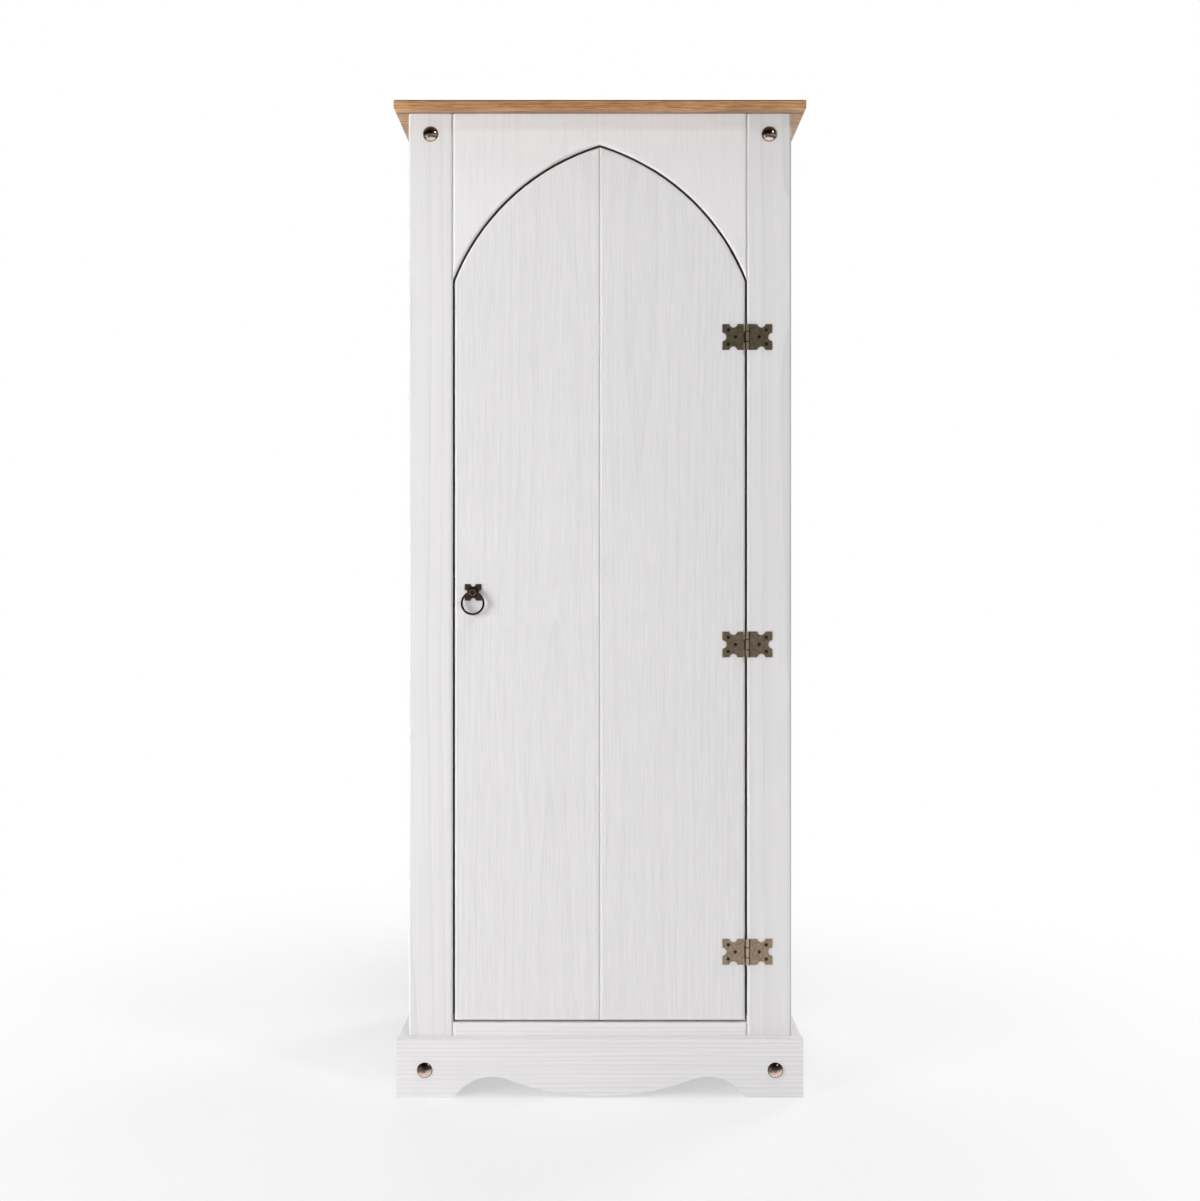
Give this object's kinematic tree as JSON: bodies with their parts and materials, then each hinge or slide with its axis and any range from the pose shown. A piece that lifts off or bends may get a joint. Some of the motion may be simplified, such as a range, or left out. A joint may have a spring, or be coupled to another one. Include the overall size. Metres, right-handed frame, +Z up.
{
  "type": "cupboard",
  "caption": "Tall narrow painted cupboard with a pointed-arch door on surface hinges, a ring pull, shelves, a waxed top and a scalloped plinth.",
  "frame": {"origin": "on the floor, under the middle of the bounding box", "axes": "+X to the right of a person facing the door, +Y to the back, +Z up"},
  "size_m": [0.632, 0.432, 1.53],
  "materials": {
    "painted_pine": "white paint over fine brushed grain, satin",
    "waxed_pine": "waxed, soft sheen",
    "bare_pine": "planed and unfinished",
    "hardboard": "smooth brown board",
    "antique_bronze": "antique bronze, soft polish",
    "dark_bronze": "dark bronze with rubbed coppery edges",
    "zinc_steel": "bright zinc plating",
    "black_plastic": "moulded, matt",
    "white_plastic": "extruded, satin",
    "ferrite": "sintered, matt"
  },
  "bodies": {
    "carcass": {"top_panel": "waxed_pine", "left_side_panel": "painted_pine", "right_side_panel": "painted_pine", "left_stile": "painted_pine", "right_stile": "painted_pine", "arch_panel": "painted_pine", "bottom_rail": "painted_pine", "base_panel": "painted_pine", "top_front_rail": "bare_pine", "top_back_rail": "bare_pine", "back_panel_lower": "hardboard", "back_panel_upper": "hardboard", "back_joining_strip": "white_plastic", "shelf_lower": "painted_pine", "shelf_middle": "painted_pine", "shelf_upper": "painted_pine", "shelf_pins": "zinc_steel", "plinth_front": "painted_pine", "plinth_left": "painted_pine", "plinth_right": "painted_pine", "plinth_back": "painted_pine", "plinth_corner_blocks": "bare_pine", "carcass_dowels": "bare_pine", "stile_dowels": "bare_pine", "frame_dowels": "bare_pine", "top_screws": "zinc_steel", "plinth_screws": "zinc_steel", "back_nails": "zinc_steel", "stile_studs": "antique_bronze", "plinth_studs": "antique_bronze", "lower_hinge_frame_leaf": "antique_bronze", "middle_hinge_frame_leaf": "antique_bronze", "upper_hinge_frame_leaf": "antique_bronze", "lower_hinge_pin": "antique_bronze", "middle_hinge_pin": "antique_bronze", "upper_hinge_pin": "antique_bronze", "hinge_frame_screws": "dark_bronze", "catch_housing": "black_plastic", "catch_magnet": "ferrite", "catch_pole_plates": "zinc_steel", "catch_screws": "zinc_steel"},
    "door": {"door_board_left": "painted_pine", "door_board_right": "painted_pine", "lower_door_ledge": "painted_pine", "middle_door_ledge": "painted_pine", "upper_door_ledge": "painted_pine", "ledge_screws": "zinc_steel", "lower_hinge_door_leaf": "antique_bronze", "middle_hinge_door_leaf": "antique_bronze", "upper_hinge_door_leaf": "antique_bronze", "hinge_door_screws": "dark_bronze", "strike_plate": "zinc_steel", "strike_screw": "zinc_steel", "pull_backplate": "dark_bronze", "pull_post": "dark_bronze", "pull_screw": "zinc_steel"},
    "ring": {"pull_ring": "dark_bronze"}
  },
  "joints": [
    {"name": "door_hinge", "type": "hinge", "parent": "carcass", "child": "door", "pos_m": [0.2275, -0.19725, 0.6945], "axis": [0, 0, 1], "range_deg": [0, 175]},
    {"name": "ring_swing", "type": "hinge", "parent": "door", "child": "ring", "pos_m": [-0.1962, -0.2015, 0.775], "axis": [-1, 0, 0], "range_deg": [0, 160]}
  ]
}
